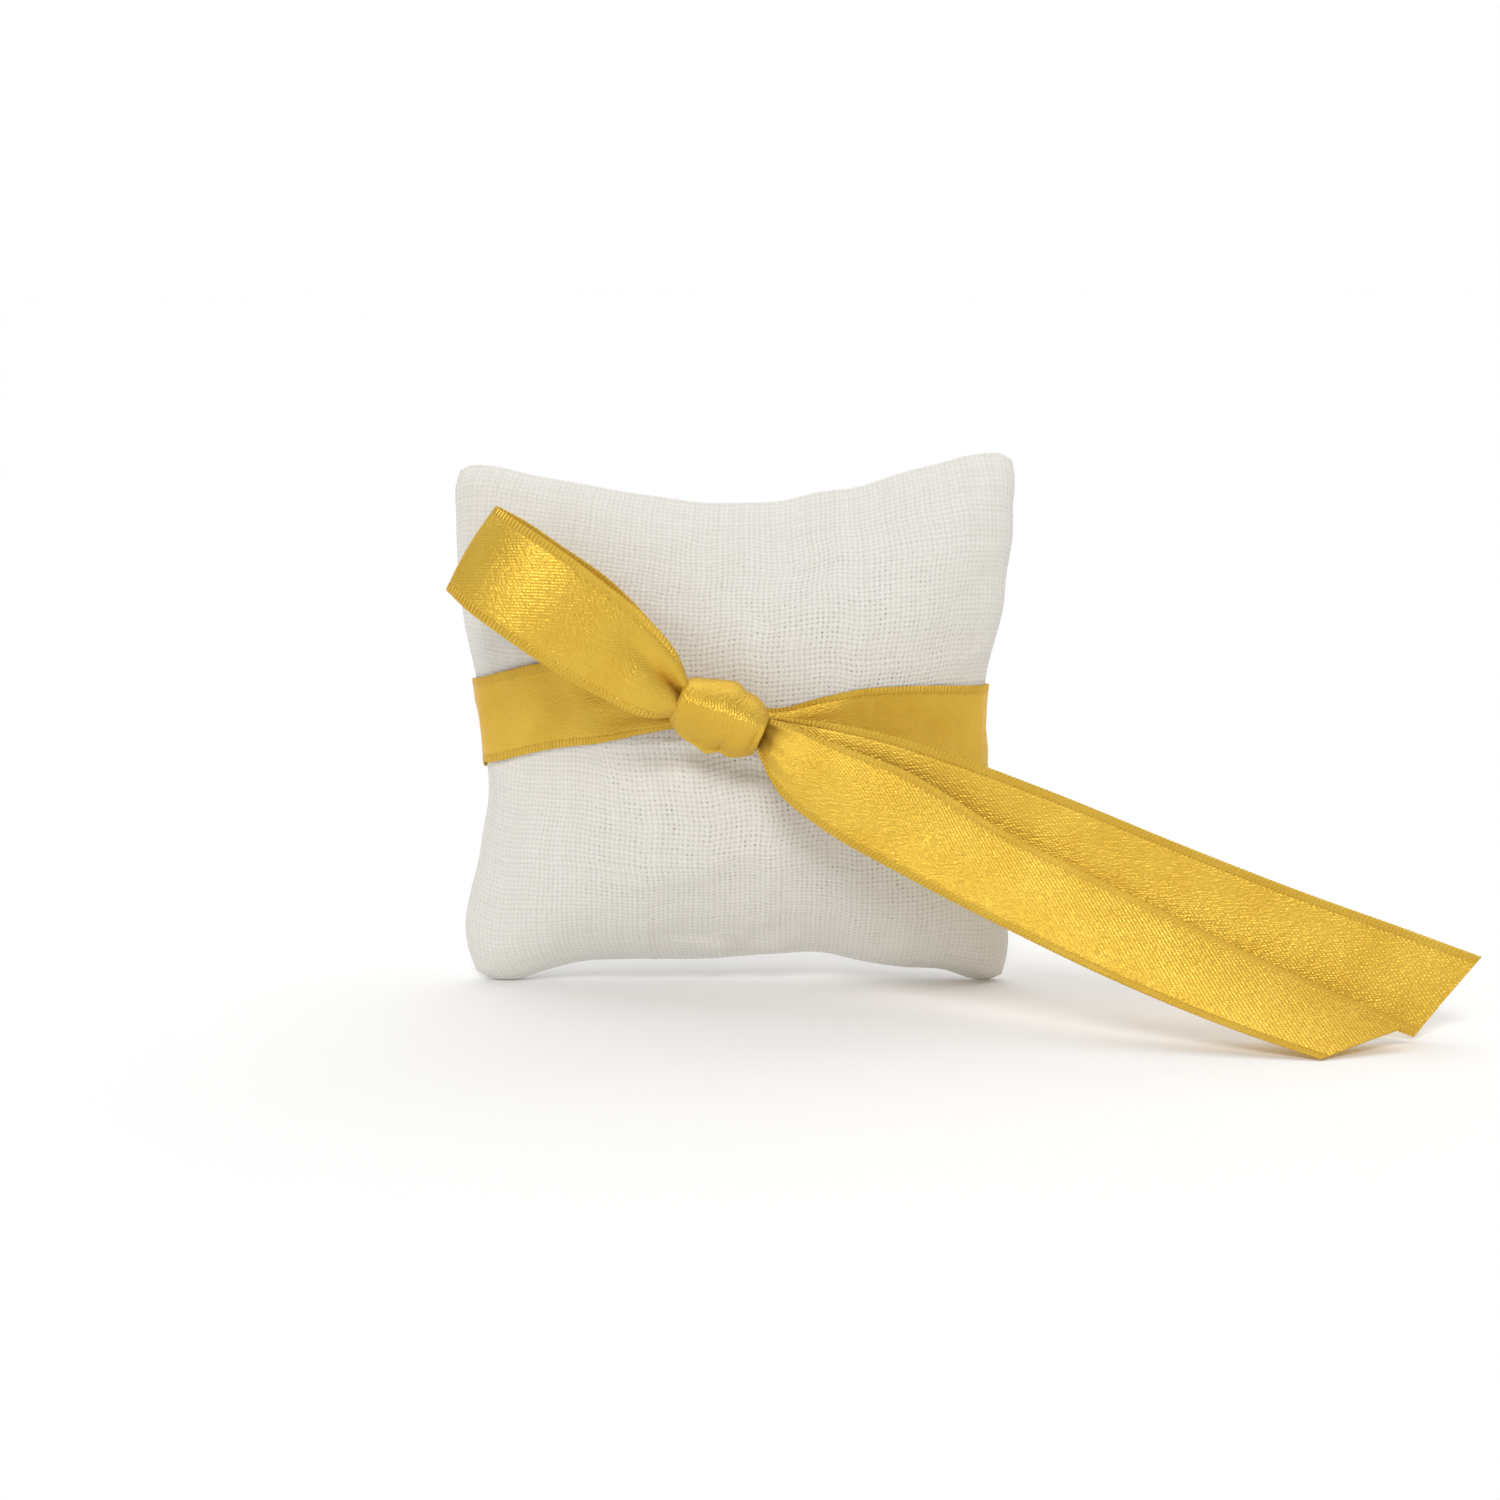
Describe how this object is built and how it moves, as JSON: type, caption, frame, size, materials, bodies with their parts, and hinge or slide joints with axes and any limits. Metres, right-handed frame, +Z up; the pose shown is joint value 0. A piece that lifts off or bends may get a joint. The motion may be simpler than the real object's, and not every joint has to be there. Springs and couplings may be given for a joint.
{
  "type": "ring bearer pillow",
  "caption": "Small plain-weave cushion with turned knife-edge seams, tied round the middle with a satin ribbon whose one-loop bow and slanted tails sit at the front.",
  "frame": {"origin": "middle of the footprint on the surface the pillow stands on", "axes": "+X towards the ribbon tails, -Y out of the front where the bow is tied, +Z up"},
  "size_m": [0.1122, 0.05, 0.0602],
  "materials": {
    "cover_cloth": "matt plain weave",
    "wadding": "matt fibre",
    "sewing_thread": "spun thread",
    "satin_ribbon": "double-face satin"
  },
  "bodies": {
    "pillow": {"cover_front": "cover_cloth", "cover_back": "cover_cloth", "filling": "wadding", "seam_stitching": "sewing_thread", "closing_stitch": "sewing_thread", "ribbon_band": "satin_ribbon", "ribbon_knot_wrap": "satin_ribbon", "ribbon_knot_core": "satin_ribbon"},
    "loop": {"ribbon_loop": "satin_ribbon"},
    "tail_rear": {"ribbon_tail_rear": "satin_ribbon"},
    "tail_front": {"ribbon_tail_front": "satin_ribbon"}
  },
  "joints": [
    {"name": "loop_lift", "type": "hinge", "parent": "pillow", "child": "loop", "pos_m": [-0.0302, -0.00394, 0.03547], "axis": [0.5736, 0, 0.8192], "range_deg": [0, 40], "stiffness_Nm_per_rad": 0.001},
    {"name": "tail_rear_lift", "type": "hinge", "parent": "pillow", "child": "tail_rear", "pos_m": [-0.02093, -0.00394, 0.03173], "axis": [-0.3746, 0, -0.9272], "range_deg": [0, 30], "stiffness_Nm_per_rad": 0.001},
    {"name": "tail_front_lift", "type": "hinge", "parent": "tail_rear", "child": "tail_front", "pos_m": [-0.02093, -0.00394, 0.03173], "axis": [-0.3746, 0, -0.9272], "range_deg": [0, 30], "stiffness_Nm_per_rad": 0.001}
  ]
}
